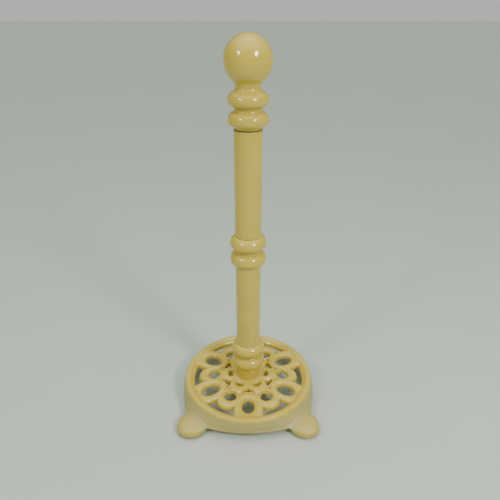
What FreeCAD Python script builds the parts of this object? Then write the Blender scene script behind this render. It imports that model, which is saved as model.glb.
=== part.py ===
"""Paper towel holder: a pierced, enamelled cast-iron base with a turned post stacked on a tie rod.

Millimetres. +Z is up, the origin is on the table under the middle of the post, and -Y is the front.
Every piece is one STEP file in parts/.
"""

import FreeCAD, Part
import math
import os
from FreeCAD import Vector

# --- base casting -------------------------------------------------------------------------------
rim_top_z = 22.0
rim_outer_r = 67.1
rim_width = 9.1
rim_edge_r = 2.0
rim_bevel_width = 4.0
rim_bevel_drop = 2.5
rim_depth = 7.5
skirt_flare = 3.5
skirt_wall = 4.0
skirt_bottom_z = 9.1
skirt_edge_r = 1.2

plate_edge_top_z = 19.6
plate_middle_top_z = 22.6
plate_thickness = 5.5
plate_into_rim = 2.0

boss_r = 16.0
boss_top_z = 23.6
boss_bottom_z = 13.0
boss_chamfer = 1.0

# --- pierced pattern: rings of openings and the overlapping petals around them --------------------
# "to_rim" is measured inwards from the rim's inner edge, "to_boss" outwards from the boss
petal_count = 6
front_angle = -90.0
large_petal_to_rim = 14.0
large_petal_r = 15.0
large_petal_spread = 1.8
small_petal_to_rim = 16.7
small_petal_r = 12.0
plate_middle_to_rim = 22.0

oval_to_rim = 13.0
oval_length = 17.0
oval_width = 12.6
kite_hole_to_rim = 15.0
kite_hole_length = 12.2
kite_hole_head = 6.8
kite_hole_width = 12.6
triangle_hole_to_boss = 5.2
triangle_hole_length = 5.6
triangle_hole_width = 9.4
triangle_hole_bow = 1.2
slit_to_boss = 0.9
slit_length = 3.7
slit_width = 8.6
slit_bow = 0.9

# --- feet ---------------------------------------------------------------------------------------
# two feet in front and one behind
foot_angles = (-135.0, -45.0, 90.0)
foot_overhang = 13.9
foot_r = 13.8
foot_bottom_z = 1.0
foot_bottom_inset = 2.0
foot_widest_z = 4.6
foot_knee_z = 11.0
foot_knee_inset = 4.6
foot_knee_r = 11.6
foot_top_z = 17.6
foot_top_inset = 2.1
foot_top_r = 6.0

pad_r = 8.0
pad_thickness = 3.0
pad_fit = 0.1

# --- post ---------------------------------------------------------------------------------------
tube_r = 12.0
tube_wall = 3.5
lower_tube_length = 93.0
upper_tube_length = 94.2
spool_step = 0.2
spool_height = 14.8
bead_proud = 4.7
collar_bead_height = 12.3
bead_gap = 3.9
gap_depth = 0.6
spigot_length = 8.0
spigot_fit = 0.1
boss_spigot_length = 5.0

# --- finial -------------------------------------------------------------------------------------
ball_r = 19.0
finial_neck_inset = 1.7
finial_foot_inset = 0.4
finial_foot_height = 1.8
finial_lower_bead_height = 11.6
finial_upper_bead_height = 11.1
finial_neck_height = 3.0
finial_neck_bow = 0.5
finial_neck_to_ball = 19.0
ball_blend_share = 0.72

# --- tie rod and its fasteners ------------------------------------------------------------------
rod_r = 3.0
rod_hole_fit = 0.4
thread_pitch = 1.0
thread_engagement = 15.0
thread_running_fit = 0.05
rod_below_nut = 1.6
thread_end_room = 3.5
nut_end_room = 3.0
washer_r = 6.25
washer_thickness = 1.6
lock_washer_r = 5.4
lock_washer_thickness = 1.6
lock_washer_gap = 1.0
nut_flats = 10.0
nut_height = 5.0
cap_washer_land = 1.3
cap_washer_thickness = 1.6
cap_nut_height = 3.2
nut_chamfer = 0.8
finial_washer_thickness = 0.8
finial_washer_gap = 0.4
counterbore_fit = 0.3

# --- sizes that follow --------------------------------------------------------------------------
rim_inner_r = rim_outer_r - rim_width
plate_edge_r = rim_inner_r + plate_into_rim
large_petal_centre_r = rim_inner_r - large_petal_to_rim
small_petal_centre_r = rim_inner_r - small_petal_to_rim
plate_middle_r = rim_inner_r - plate_middle_to_rim
oval_centre_r = rim_inner_r - oval_to_rim
kite_hole_outer_r = rim_inner_r - kite_hole_to_rim
kite_hole_widest_r = kite_hole_outer_r - kite_hole_head
kite_hole_inner_r = kite_hole_outer_r - kite_hole_length
triangle_hole_inner_r = boss_r + triangle_hole_to_boss
triangle_hole_outer_r = triangle_hole_inner_r + triangle_hole_length
slit_inner_r = boss_r + slit_to_boss
slit_outer_r = slit_inner_r + slit_length
foot_circle_r = rim_outer_r + foot_overhang
foot_bottom_r = foot_r - foot_bottom_inset
foot_knee_circle_r = foot_circle_r - foot_knee_inset
foot_top_circle_r = rim_outer_r - foot_top_inset
spool_r = tube_r + spool_step
bead_r = tube_r + bead_proud
finial_neck_r = tube_r - finial_neck_inset
finial_foot_r = tube_r - finial_foot_inset
tube_bore_r = tube_r - tube_wall
cap_washer_r = tube_bore_r + cap_washer_land
spigot_r = tube_bore_r - spigot_fit
rod_hole_r = rod_r + rod_hole_fit
collar_height = 2 * collar_bead_height + bead_gap
base_collar_bead_z = boss_top_z + spool_height
lower_tube_z = base_collar_bead_z + collar_height
middle_collar_z = lower_tube_z + lower_tube_length
upper_tube_z = middle_collar_z + collar_height
post_top_z = upper_tube_z + upper_tube_length
finial_z = post_top_z + finial_washer_thickness
cap_nut_z = post_top_z + cap_washer_thickness
counterbore_r = cap_washer_r + counterbore_fit
counterbore_top_z = cap_nut_z + cap_nut_height + nut_end_room
rod_top_z = counterbore_top_z + thread_engagement
washer_z = boss_bottom_z - washer_thickness
lock_washer_z = washer_z - lock_washer_thickness
nut_z = lock_washer_z - nut_height
rod_bottom_z = nut_z - rod_below_nut

os.makedirs("parts", exist_ok=True)


def save(name, shape):
    """Write one piece to its own STEP file."""
    shape.exportStep(f"parts/{name}.step")


def lathe(outline):
    """Turn a closed outline of (radius, z) points round the post's axis; a triple is an arc's middle, then its end."""
    edges = []
    here = outline[0]
    for step in outline[1:] + [outline[0]]:
        points = [Vector(here[0], 0, here[1])]
        points += [Vector(r, 0, z) for r, z in zip(step[0::2], step[1::2])]
        edges.append(Part.Arc(*points).toShape() if len(points) == 3 else Part.makeLine(*points))
        here = step[-2:]
    return Part.Face(Part.Wire(edges)).revolve(Vector(), Vector(0, 0, 1), 360)


def disc(radius, z0, z1, x=0.0, y=0.0):
    """An upright cylinder from z0 to z1."""
    return Part.makeCylinder(radius, z1 - z0, Vector(x, y, z0))


def turned(shape, angle):
    """A copy turned about the post's axis, in degrees."""
    copy = shape.copy()
    copy.rotate(Vector(), Vector(0, 0, 1), angle)
    return copy


def around(shape, count, first_angle):
    """Copies of a shape made on +X, evenly spaced round the axis."""
    return [turned(shape, first_angle + 360.0 / count * k) for k in range(count)]


def prism(edges, z0, z1):
    """An upright solid over a closed outline drawn at z = 0."""
    face = Part.Face(Part.Wire(edges))
    face.translate(Vector(0, 0, z0))
    return face.extrude(Vector(0, 0, z1 - z0))


# --- base casting -------------------------------------------------------------------------------
def rim_and_skirt():
    """The rim, flat on top and bevelled inwards to the pattern, and the skirt that flares out below it."""
    edge = rim_edge_r
    skirt_bottom_r = rim_outer_r + skirt_flare
    inner_bottom_z = rim_top_z - rim_depth
    bulge = edge * (1 - math.sqrt(0.5))
    return lathe([
        (rim_inner_r, inner_bottom_z),
        (rim_inner_r, rim_top_z - rim_bevel_drop),
        (rim_inner_r + rim_bevel_width, rim_top_z),
        (rim_outer_r - edge, rim_top_z),
        (rim_outer_r - bulge, rim_top_z - bulge, rim_outer_r, rim_top_z - edge),
        (skirt_bottom_r, skirt_bottom_z + skirt_edge_r),
        (skirt_bottom_r - skirt_edge_r, skirt_bottom_z),
        (skirt_bottom_r - skirt_wall, skirt_bottom_z),
        (rim_outer_r - skirt_wall, inner_bottom_z),
    ])


def oval_hole(z0, z1):
    """The long opening in a large petal, its length along the radius."""
    ellipse = Part.Ellipse(Vector(oval_centre_r, 0, 0), oval_length / 2, oval_width / 2)
    return prism([ellipse.toShape()], z0, z1)


def kite_hole(z0, z1):
    """The opening in a small petal: pointed towards the post and round away from it."""
    side = kite_hole_width / 2
    point = Vector(kite_hole_inner_r, 0, 0)
    right = Vector(kite_hole_widest_r, side, 0)
    left = Vector(kite_hole_widest_r, -side, 0)
    return prism([
        Part.makeLine(point, right),
        Part.Arc(right, Vector(kite_hole_outer_r, 0, 0), left).toShape(),
        Part.makeLine(left, point),
    ], z0, z1)


def triangle_hole(z0, z1):
    """The small three-cornered opening between the inner lobes, its point towards the post."""
    side = triangle_hole_width / 2
    point = Vector(triangle_hole_inner_r, 0, 0)
    left = Vector(triangle_hole_outer_r - triangle_hole_bow, -side, 0)
    right = Vector(triangle_hole_outer_r - triangle_hole_bow, side, 0)
    return prism([
        Part.makeLine(point, right),
        Part.Arc(right, Vector(triangle_hole_outer_r, 0, 0), left).toShape(),
        Part.makeLine(left, point),
    ], z0, z1)


def slit_hole(z0, z1):
    """The crescent next to the boss, its hollow side towards the post."""
    side = slit_width / 2
    left = Vector(slit_inner_r - slit_bow, -side, 0)
    right = Vector(slit_inner_r - slit_bow, side, 0)
    return prism([
        Part.Arc(left, Vector(slit_inner_r, 0, 0), right).toShape(),
        Part.Arc(right, Vector(slit_outer_r, 0, 0), left).toShape(),
    ], z0, z1)


def petal_root(z0, z1):
    """The outer end of a large petal, which widens into the rim."""
    outer_r = plate_edge_r
    inner_side = large_petal_r
    outer_side = large_petal_r + large_petal_spread
    corners = [
        Vector(large_petal_centre_r, -inner_side, 0),
        Vector(outer_r, -outer_side, 0),
        Vector(outer_r, outer_side, 0),
        Vector(large_petal_centre_r, inner_side, 0),
    ]
    return prism([Part.makePolygon(corners + corners[:1])], z0, z1)


def pierced_plate():
    """The slightly domed plate: overlapping petals joined to the rim, pierced by five rings of openings."""
    edge_r = plate_edge_r
    dome = lathe([
        (0.0, plate_middle_top_z - plate_thickness),
        (0.0, plate_middle_top_z),
        (boss_r, plate_middle_top_z),
        (edge_r, plate_edge_top_z),
        (edge_r, plate_edge_top_z - plate_thickness),
        (boss_r, plate_middle_top_z - plate_thickness),
    ])
    low = plate_edge_top_z - plate_thickness - 1.0
    high = boss_top_z + 1.0
    step = 360.0 / petal_count
    petals = around(disc(large_petal_r, low, high, x=large_petal_centre_r), petal_count, front_angle)
    petals += around(disc(small_petal_r, low, high, x=small_petal_centre_r), petal_count, front_angle + step / 2)
    petals += around(petal_root(low, high), petal_count, front_angle)
    outline = disc(plate_middle_r, low, high).fuse(petals)
    plate = dome.common(outline)
    holes = around(oval_hole(low, high), petal_count, front_angle)
    holes += around(kite_hole(low, high), petal_count, front_angle + step / 2)
    holes += around(triangle_hole(low, high), petal_count, front_angle)
    holes += around(slit_hole(low, high), petal_count, front_angle + step / 2)
    return plate.cut(holes)


def boss():
    """The round seat for the post, thicker than the plate below it."""
    return lathe([
        (0.0, boss_bottom_z),
        (0.0, boss_top_z),
        (boss_r - boss_chamfer, boss_top_z),
        (boss_r, boss_top_z - boss_chamfer),
        (boss_r, boss_bottom_z),
    ])


def foot():
    """A rounded lobe on +X that grows out of the skirt and leans outwards to its toe."""
    rings = [
        (foot_circle_r, foot_bottom_r, foot_bottom_z),
        (foot_circle_r, foot_r, foot_widest_z),
        (foot_knee_circle_r, foot_knee_r, foot_knee_z),
        (foot_top_circle_r, foot_top_r, foot_top_z),
    ]
    wires = [Part.Wire([Part.makeCircle(r, Vector(x, 0, z))]) for x, r, z in rings]
    return Part.makeLoft(wires, True, True)


def base_casting():
    """Plate, rim, skirt, boss and feet: one casting, bored for the post and recessed for the pads."""
    pad_recess = disc(pad_r + pad_fit, 0.0, pad_thickness, x=foot_circle_r)
    feet = [turned(foot(), angle) for angle in foot_angles]
    recesses = [turned(pad_recess, angle) for angle in foot_angles]
    casting = rim_and_skirt().fuse([pierced_plate(), boss()] + feet)
    bores = [
        disc(tube_bore_r, boss_top_z - boss_spigot_length - 0.5, boss_top_z + 1.0),
        disc(rod_hole_r, boss_bottom_z - 1.0, boss_top_z),
    ]
    return casting.cut(bores + recesses).removeSplitter()


# --- post ---------------------------------------------------------------------------------------
def double_bead(z0, lower_height, upper_height):
    """Outline steps up the outside of two beads with a narrow waist between them, from z0."""
    lower_top = z0 + lower_height
    upper_bottom = lower_top + bead_gap
    return [
        (bead_r, z0 + lower_height / 2, tube_r, lower_top),
        (tube_r - gap_depth, lower_top + bead_gap / 2, tube_r, upper_bottom),
        (bead_r, upper_bottom + upper_height / 2, tube_r, upper_bottom + upper_height),
    ]


def base_collar():
    """Spool and double bead between the boss and the lower tube, with a spigot at each end."""
    top_z = lower_tube_z
    return lathe([
        (rod_hole_r, boss_top_z - boss_spigot_length),
        (spigot_r, boss_top_z - boss_spigot_length),
        (spigot_r, boss_top_z),
        (spool_r, boss_top_z),
        (spool_r, base_collar_bead_z - (spool_r - tube_r)),
        (tube_r, base_collar_bead_z),
        *double_bead(base_collar_bead_z, collar_bead_height, collar_bead_height),
        (spigot_r, top_z),
        (spigot_r, top_z + spigot_length),
        (rod_hole_r, top_z + spigot_length),
    ])


def middle_collar():
    """Double bead between the two tubes, with a spigot at each end."""
    return lathe([
        (rod_hole_r, middle_collar_z - spigot_length),
        (spigot_r, middle_collar_z - spigot_length),
        (spigot_r, middle_collar_z),
        (tube_r, middle_collar_z),
        *double_bead(middle_collar_z, collar_bead_height, collar_bead_height),
        (spigot_r, upper_tube_z),
        (spigot_r, upper_tube_z + spigot_length),
        (rod_hole_r, upper_tube_z + spigot_length),
    ])


def post_tube(z0, z1):
    """One straight length of the post."""
    return disc(tube_r, z0, z1).cut(disc(tube_bore_r, z0, z1))


def finial():
    """Ball, neck and double bead in one piece, hollowed over the rod's nut and tapped for the rod."""
    bead_z = finial_z + finial_foot_height
    bead_top_z = bead_z + finial_lower_bead_height + bead_gap + finial_upper_bead_height
    neck_z = bead_top_z + finial_neck_height
    ball_z = neck_z + finial_neck_to_ball
    blend_z = ball_z - ball_r * ball_blend_share
    blend_r = math.sqrt(ball_r**2 - (ball_z - blend_z) ** 2)
    thread_r = rod_r + thread_running_fit
    thread_top_z = rod_top_z + thread_end_room
    return lathe([
        (0.0, thread_top_z),
        (thread_r, thread_top_z - thread_r),
        (thread_r, counterbore_top_z),
        (counterbore_r, counterbore_top_z),
        (counterbore_r, finial_z),
        (finial_foot_r, finial_z),
        (finial_foot_r, finial_z + finial_foot_height / 2),
        (tube_r, bead_z),
        *double_bead(bead_z, finial_lower_bead_height, finial_upper_bead_height),
        (finial_neck_r + finial_neck_bow, (bead_top_z + neck_z) / 2, finial_neck_r, neck_z),
        (finial_neck_r + finial_neck_bow, (neck_z + blend_z) / 2, blend_r, blend_z),
        (ball_r, ball_z, 0.0, ball_z + ball_r),
    ])


# --- rod and fasteners --------------------------------------------------------------------------
def hex_nut(z0, height):
    """A hexagon nut with chamfered corners, round the rod."""
    corner_r = nut_flats / math.sqrt(3)
    corners = [Vector(corner_r * math.cos(math.radians(60 * k)), corner_r * math.sin(math.radians(60 * k)), 0)
               for k in range(7)]
    block = prism([Part.makePolygon(corners)], z0, z0 + height)
    flat_r = nut_flats / 2
    dome = lathe([
        (0.0, z0),
        (flat_r, z0),
        (flat_r + nut_chamfer, z0 + nut_chamfer / 2),
        (flat_r + nut_chamfer, z0 + height - nut_chamfer / 2),
        (flat_r, z0 + height),
        (0.0, z0 + height),
    ])
    return block.common(dome).cut(disc(rod_r, z0 - 1, z0 + height + 1))


def flat_washer(radius, thickness, z0):
    """A plain steel washer on the rod."""
    return disc(radius, z0, z0 + thickness).cut(disc(rod_hole_r, z0 - 1, z0 + thickness + 1))


def lock_washer():
    """A split spring washer, pressed flat."""
    ring = flat_washer(lock_washer_r, lock_washer_thickness, lock_washer_z)
    split = Part.makeBox(lock_washer_r, lock_washer_gap, lock_washer_thickness,
                         Vector(0, -lock_washer_gap / 2, lock_washer_z))
    return ring.cut(split)


def tie_rod():
    """The rod that clamps the stack, with a small chamfer at each end."""
    chamfer = rod_r / 5
    return lathe([
        (0.0, rod_bottom_z),
        (rod_r - chamfer, rod_bottom_z),
        (rod_r, rod_bottom_z + chamfer),
        (rod_r, rod_top_z - chamfer),
        (rod_r - chamfer, rod_top_z),
        (0.0, rod_top_z),
    ])


def finial_washer():
    """Thin ring that keeps the finial's enamel off the tube's."""
    inner_r = cap_washer_r + finial_washer_gap
    return disc(finial_foot_r, post_top_z, finial_z).cut(disc(inner_r, post_top_z - 1, finial_z + 1))


save("base_casting", base_casting())
save("base_collar", base_collar())
save("lower_tube", post_tube(lower_tube_z, middle_collar_z))
save("middle_collar", middle_collar())
save("upper_tube", post_tube(upper_tube_z, post_top_z))
save("finial", finial())
save("finial_washer", finial_washer())
save("tie_rod", tie_rod())
save("cap_washer", flat_washer(cap_washer_r, cap_washer_thickness, post_top_z))
save("cap_nut", hex_nut(cap_nut_z, cap_nut_height))
save("base_washer", flat_washer(washer_r, washer_thickness, washer_z))
save("lock_washer", lock_washer())
save("base_nut", hex_nut(nut_z, nut_height))
for number, angle in enumerate(foot_angles, 1):
    save(f"foot_pad_{number}", turned(disc(pad_r, 0.0, pad_thickness, x=foot_circle_r), angle))
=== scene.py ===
"""Looks of a paper towel holder: a pierced, enamelled iron base, a turned post and a ball finial.

Metres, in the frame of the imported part: +Z up, -Y to the front, the origin under the middle of the post.
"""

import math

import bmesh
import bpy
import numpy as np
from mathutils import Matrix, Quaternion, Vector


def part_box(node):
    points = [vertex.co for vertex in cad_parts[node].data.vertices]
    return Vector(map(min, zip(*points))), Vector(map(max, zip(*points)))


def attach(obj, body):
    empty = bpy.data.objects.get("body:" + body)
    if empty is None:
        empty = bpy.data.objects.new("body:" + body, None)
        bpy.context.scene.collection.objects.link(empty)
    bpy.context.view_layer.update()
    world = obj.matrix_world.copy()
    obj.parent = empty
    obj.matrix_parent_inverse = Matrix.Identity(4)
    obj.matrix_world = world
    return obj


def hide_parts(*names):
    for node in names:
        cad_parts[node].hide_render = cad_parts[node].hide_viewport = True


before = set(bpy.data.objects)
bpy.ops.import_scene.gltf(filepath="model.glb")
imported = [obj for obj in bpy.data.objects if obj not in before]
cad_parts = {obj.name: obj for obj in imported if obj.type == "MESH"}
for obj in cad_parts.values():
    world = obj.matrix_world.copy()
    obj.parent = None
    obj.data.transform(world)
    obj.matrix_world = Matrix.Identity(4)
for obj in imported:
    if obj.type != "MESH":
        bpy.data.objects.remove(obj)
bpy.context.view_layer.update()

bl_info = {
    "name": "Enamelled Towel Holder",
    "version": (1, 0, 0),
    "blender": (4, 5, 0),
    "location": "View3D > Sidebar > Towel Holder",
    "description": "Builds the looks of an enamelled cast-iron paper towel holder around its packed frame",
    "category": "Add Mesh",
}

MM = 0.001

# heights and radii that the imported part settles
BASE_LOW, BASE_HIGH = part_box("base_casting")
COLLAR_LOW, COLLAR_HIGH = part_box("base_collar")
LOWER_TUBE_LOW, LOWER_TUBE_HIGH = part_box("lower_tube")
MIDDLE_LOW, MIDDLE_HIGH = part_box("middle_collar")
UPPER_TUBE_LOW, UPPER_TUBE_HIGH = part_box("upper_tube")
FINIAL_LOW, FINIAL_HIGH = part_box("finial")
ROD_LOW, ROD_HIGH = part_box("tie_rod")
PAD_LOW, PAD_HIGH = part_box("foot_pad_1")

TUBE_R = LOWER_TUBE_HIGH[0]
BEAD_R = COLLAR_HIGH[0]
BALL_R = FINIAL_HIGH[0]
SEAT_Z = BASE_HIGH[2]
ROD_R = ROD_HIGH[0]
PAD_R = (PAD_HIGH[0] - PAD_LOW[0]) / 2
FOOT_CIRCLE_R = math.hypot(PAD_HIGH[0] - PAD_R, PAD_HIGH[1] - PAD_R)


# --- small helpers ----------------------------------------
def linear(hex_colour):
    """An sRGB hex colour as linear red, green and blue."""
    channels = [int(hex_colour[k:k + 2], 16) / 255 for k in (1, 3, 5)]
    return tuple(c / 12.92 if c <= 0.04045 else ((c + 0.055) / 1.055) ** 2.4 for c in channels)


def join(tree, node, links):
    """Fills or links a node's inputs, where a node given as the source stands for its first output."""
    for key, source in links.items():
        if isinstance(source, bpy.types.Node):
            source = source.outputs[0]
        if isinstance(source, bpy.types.NodeSocket):
            tree.links.new(source, node.inputs[key])
        else:
            node.inputs[key].default_value = source


def add(tree, kind, links=None, **settings):
    """Adds a node, sets what is named on it, and fills or links its inputs."""
    node = tree.nodes.new(kind)
    for name, value in settings.items():
        setattr(node, name, value)
    join(tree, node, links or {})
    return node


def coat(mesh, material):
    """Gives a mesh one material and no other."""
    mesh.materials.clear()
    mesh.materials.append(material)


def new_object(name, mesh):
    """Puts a mesh in the scene as an object at the origin."""
    thing = bpy.data.objects.new(name, mesh)
    bpy.context.scene.collection.objects.link(thing)
    return thing


def piece(name, mesh, material, body, slot, *nodes):
    """Adds a piece in its material, hangs it on the body it rides on and hides the CAD nodes it stands for.
    """
    coat(mesh, material)
    thing = new_object(name, mesh)
    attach(thing, body)
    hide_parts(*nodes)


# --- materials --------------------------------------------
# a Mix node's sockets when it mixes two colours
FACTOR, FIRST, SECOND, MIXED = 0, 6, 7, 2

GLAZE_IOR = 1.6
PIT_SMALLEST, PIT_SPREAD = 0.03, 0.10    # radii of the pits, as shares of the pit spacing
GRAIN_LOW, GRAIN_HIGH = 0.35, 0.70       # the part of the grain's noise that changes the gloss
GRAIN_CHANGE = 1.7                       # how many times rougher the grain makes the coat at most
RING_SCALE = 1 / (16 * MM)               # the wave node draws a ring every 5 mm at this scale


def surface(name):
    """A new node material with its Principled shader and the object coordinates."""
    material = bpy.data.materials.new(name)
    material.use_nodes = True
    tree = material.node_tree
    shader = tree.nodes["Principled BSDF"]
    place = add(tree, "ShaderNodeTexCoord").outputs["Object"]
    return material, tree, shader, place


def porcelain_enamel(settings):
    """Butter-yellow porcelain enamel, sprayed and fired on sand-cast iron.

    The eye sees a thick glass coat: sharp small highlights that wobble over a faint orange peel, a deeper
    yellow in hollows that is partly glaze pooled there and partly painted shade, a duller dusty skirt whose
    side also carries painted shade, and a few pits down to the iron.
    """
    material, tree, shader, place = surface("porcelain_enamel_on_cast_iron")
    hollow, wear, dull = (add(tree, "ShaderNodeAttribute", attribute_name=name).outputs["Fac"]
                          for name in ("hollow", "wear", "dull"))

    tone = add(tree, "ShaderNodeTexNoise", {
        "Vector": place, "Scale": 1 / settings.tone_spacing, "Detail": 3.0, "Roughness": 0.6})
    cells = add(tree, "ShaderNodeTexVoronoi", {
        "Vector": place, "Scale": 1 / settings.pit_spacing, "Randomness": 1.0})
    chosen = add(tree, "ShaderNodeSeparateColor", {"Color": cells.outputs["Color"]})
    rare = add(tree, "ShaderNodeMath", {0: chosen, 1: settings.pit_share}, operation="LESS_THAN")
    size = add(tree, "ShaderNodeMath", {0: chosen.outputs["Green"], 1: PIT_SPREAD}, operation="MULTIPLY")
    size = add(tree, "ShaderNodeMath", {0: size, 1: PIT_SMALLEST}, operation="ADD")
    near = add(tree, "ShaderNodeMath", {0: cells.outputs["Distance"], 1: size}, operation="LESS_THAN")
    pit = add(tree, "ShaderNodeMath", {0: rare, 1: near}, operation="MULTIPLY")

    # tints over the glaze: a random paler tone, the pooled colour in hollows (pooled glaze and painted
    # shade), the dusty colour on the skirt's side (dust and painted shade) and dark pits
    tint = (*settings.glaze_colour, 1)
    for amount, colour in ((tone, settings.glaze_light), (hollow, settings.pooled_glaze_and_shade_colour),
                           (wear, settings.dust_and_shade_colour), (pit, settings.iron_colour)):
        tint = add(tree, "ShaderNodeMix", {FACTOR: amount, FIRST: tint, SECOND: (*colour, 1)},
                   data_type="RGBA").outputs[MIXED]

    grain = add(tree, "ShaderNodeTexNoise", {
        "Vector": place, "Scale": 1 / settings.dust_spacing, "Detail": 4.0})
    rough = add(tree, "ShaderNodeMapRange", {
        "Value": grain, "From Min": GRAIN_LOW, "From Max": GRAIN_HIGH,
        "To Min": settings.roughness, "To Max": settings.roughness * GRAIN_CHANGE})
    worn = add(tree, "ShaderNodeMath", {0: pit, 1: dull}, operation="MAXIMUM")
    rougher = add(tree, "ShaderNodeMath", {0: worn, 1: settings.worn_roughness}, operation="MULTIPLY")
    total = add(tree, "ShaderNodeMath", {0: rough, 1: rougher}, operation="ADD")

    peel = add(tree, "ShaderNodeTexNoise", {
        "Vector": place, "Scale": 1 / settings.peel_spacing, "Detail": 1.0, "Roughness": 0.35})
    wave = add(tree, "ShaderNodeTexNoise", {
        "Vector": place, "Scale": 1 / settings.wave_spacing, "Detail": 1.0, "Roughness": 0.4})
    waves = add(tree, "ShaderNodeBump", {"Height": wave, "Distance": settings.wave_height, "Strength": 1.0})
    peels = add(tree, "ShaderNodeBump", {
        "Height": peel, "Distance": settings.peel_height, "Strength": 1.0, "Normal": waves})
    join(tree, shader, {"Base Color": tint, "Roughness": total, "Normal": peels, "IOR": GLAZE_IOR})
    return material


def mottled(name, first, second, **noise):
    """A new material whose colour wanders between two by a noise, with that noise to build on."""
    material, tree, shader, place = surface(name)
    noise = {key.capitalize(): value for key, value in noise.items()}
    mottle = add(tree, "ShaderNodeTexNoise", {"Vector": place, **noise})
    tint = add(tree, "ShaderNodeMix", {
        FACTOR: mottle, FIRST: (*linear(first), 1), SECOND: (*linear(second), 1)}, data_type="RGBA")
    join(tree, shader, {"Base Color": tint.outputs[MIXED]})
    return material, tree, shader, place, mottle


def zinc_steel():
    """Bright zinc plate on turned steel: a cool grey with cloudy passivation and faint wide rings."""
    material, tree, shader, place, cloud = mottled("zinc_plated_turned_steel", "#9FA3A5", "#C4C6C3",
                                                   scale=1 / (3 * MM), detail=3.0)
    rough = add(tree, "ShaderNodeMapRange", {"Value": cloud, "To Min": 0.25, "To Max": 0.5})
    rings = add(tree, "ShaderNodeTexWave", {"Vector": place, "Scale": RING_SCALE, "Distortion": 0.4},
                wave_type="RINGS", rings_direction="Z")
    bump = add(tree, "ShaderNodeBump", {"Height": rings.outputs["Fac"], "Distance": 0.02 * MM})
    join(tree, shader, {"Metallic": 1.0, "Roughness": rough, "Normal": bump})
    return material


def vulcanised_fibre():
    """Vulcanised fibre punched from sheet: a dull, mottled olive brown, dark as painted shade under the
    finial's bead.
    """
    material, tree, shader, _, mottle = mottled("punched_vulcanised_fibre", "#4B3F1E", "#6B5D30",
                                                scale=1 / (2 * MM), detail=3.0)
    rough = add(tree, "ShaderNodeMapRange", {"Value": mottle, "To Min": 0.6, "To Max": 0.8})
    join(tree, shader, {"Roughness": rough})
    return material


def moulded_rubber():
    """Black nitrile rubber, compression moulded: matt, with grey scuffs."""
    material, tree, shader, _, scuff = mottled("moulded_nitrile_rubber", "#191919", "#4A4844",
                                               scale=1 / (1.5 * MM), detail=5.0, roughness=0.7)
    bump = add(tree, "ShaderNodeBump", {"Height": scuff, "Distance": 0.05 * MM})
    join(tree, shader, {"Roughness": 0.8, "Normal": bump})
    return material


def painted_board():
    """Pale green-grey eggshell paint on board: the surface that the holder stands on."""
    material, tree, shader, _, _ = mottled("eggshell_painted_board", "#B5BFB2", "#BCC5B8",
                                           scale=6.0, detail=2.0)
    join(tree, shader, {"Roughness": 0.6})
    return material


MATERIALS = {}


def material_of(build, *arguments):
    """The material that a function builds, made once and used again after that."""
    key = build.__name__
    if key not in MATERIALS:
        MATERIALS[key] = build(*arguments)
    return MATERIALS[key]


# --- turned pieces ----------------------------------------
CREASE_REACH = 2.2 * MM      # how widely an outline is smoothed to find its creases
CREASE_DEPTH = 1.3 * MM      # how far inside the smoothed outline a full crease lies
LATHE_MERGE = 0.02 * MM
DOUBLES, THINNEST = 0.01 * MM, 0.005 * MM

ANGLES = ("First angle", "Second angle", "Third angle")
TREES = {}


def new_tree(name, inputs):
    """A Geometry Nodes tree that takes and gives a geometry, with other named inputs, and its input node."""
    tree = bpy.data.node_groups.new(name, "GeometryNodeTree")
    for title, kind in {"Geometry": "Geometry", **inputs}.items():
        tree.interface.new_socket(title, in_out="INPUT", socket_type="NodeSocket" + kind)
    tree.interface.new_socket("Geometry", in_out="OUTPUT", socket_type="NodeSocketGeometry")
    return tree, add(tree, "NodeGroupInput")


def turning_tree():
    """Geometry Nodes that turn an outline drawn in the XZ plane round the Z axis."""
    tree, given = new_tree("turn_on_lathe", {
        "Outline points": "Int", "Steps around": "Int", "Merge distance": "Float", "Finish": "Material"})
    points, around = given.outputs["Outline points"], given.outputs["Steps around"]
    rows = add(tree, "ShaderNodeMath", {0: points, 1: 1.0}, operation="ADD")
    columns = add(tree, "ShaderNodeMath", {0: around, 1: 1.0}, operation="ADD")
    grid = add(tree, "GeometryNodeMeshGrid", {"Vertices X": columns, "Vertices Y": rows})
    index = add(tree, "GeometryNodeInputIndex")
    row = add(tree, "ShaderNodeMath", {0: index, 1: rows}, operation="FLOORED_MODULO")
    wrapped = add(tree, "ShaderNodeMath", {0: row, 1: points}, operation="FLOORED_MODULO")
    column = add(tree, "ShaderNodeMath", {0: index, 1: rows}, operation="DIVIDE")
    column = add(tree, "ShaderNodeMath", {0: column}, operation="FLOOR")
    turns = add(tree, "ShaderNodeMath", {0: column, 1: around}, operation="DIVIDE")
    angle = add(tree, "ShaderNodeMath", {0: turns, 1: math.tau}, operation="MULTIPLY")
    drawn = add(tree, "GeometryNodeSampleIndex", {
        "Geometry": given, "Value": add(tree, "GeometryNodeInputPosition"), "Index": wrapped},
        data_type="FLOAT_VECTOR")
    turned = add(tree, "ShaderNodeVectorRotate", {"Vector": drawn, "Angle": angle}, rotation_type="Z_AXIS")
    moved = add(tree, "GeometryNodeSetPosition", {"Geometry": grid, "Position": turned})
    closed = add(tree, "GeometryNodeMergeByDistance", {
        "Geometry": moved, "Distance": given.outputs["Merge distance"]})
    whole = add(tree, "GeometryNodeRealizeInstances", {"Geometry": closed})
    smooth = add(tree, "GeometryNodeSetShadeSmooth", {"Geometry": whole})
    finished = add(tree, "GeometryNodeSetMaterial", {"Geometry": smooth, "Material": given.outputs["Finish"]})
    add(tree, "NodeGroupOutput", {"Geometry": finished})
    return tree


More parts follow.
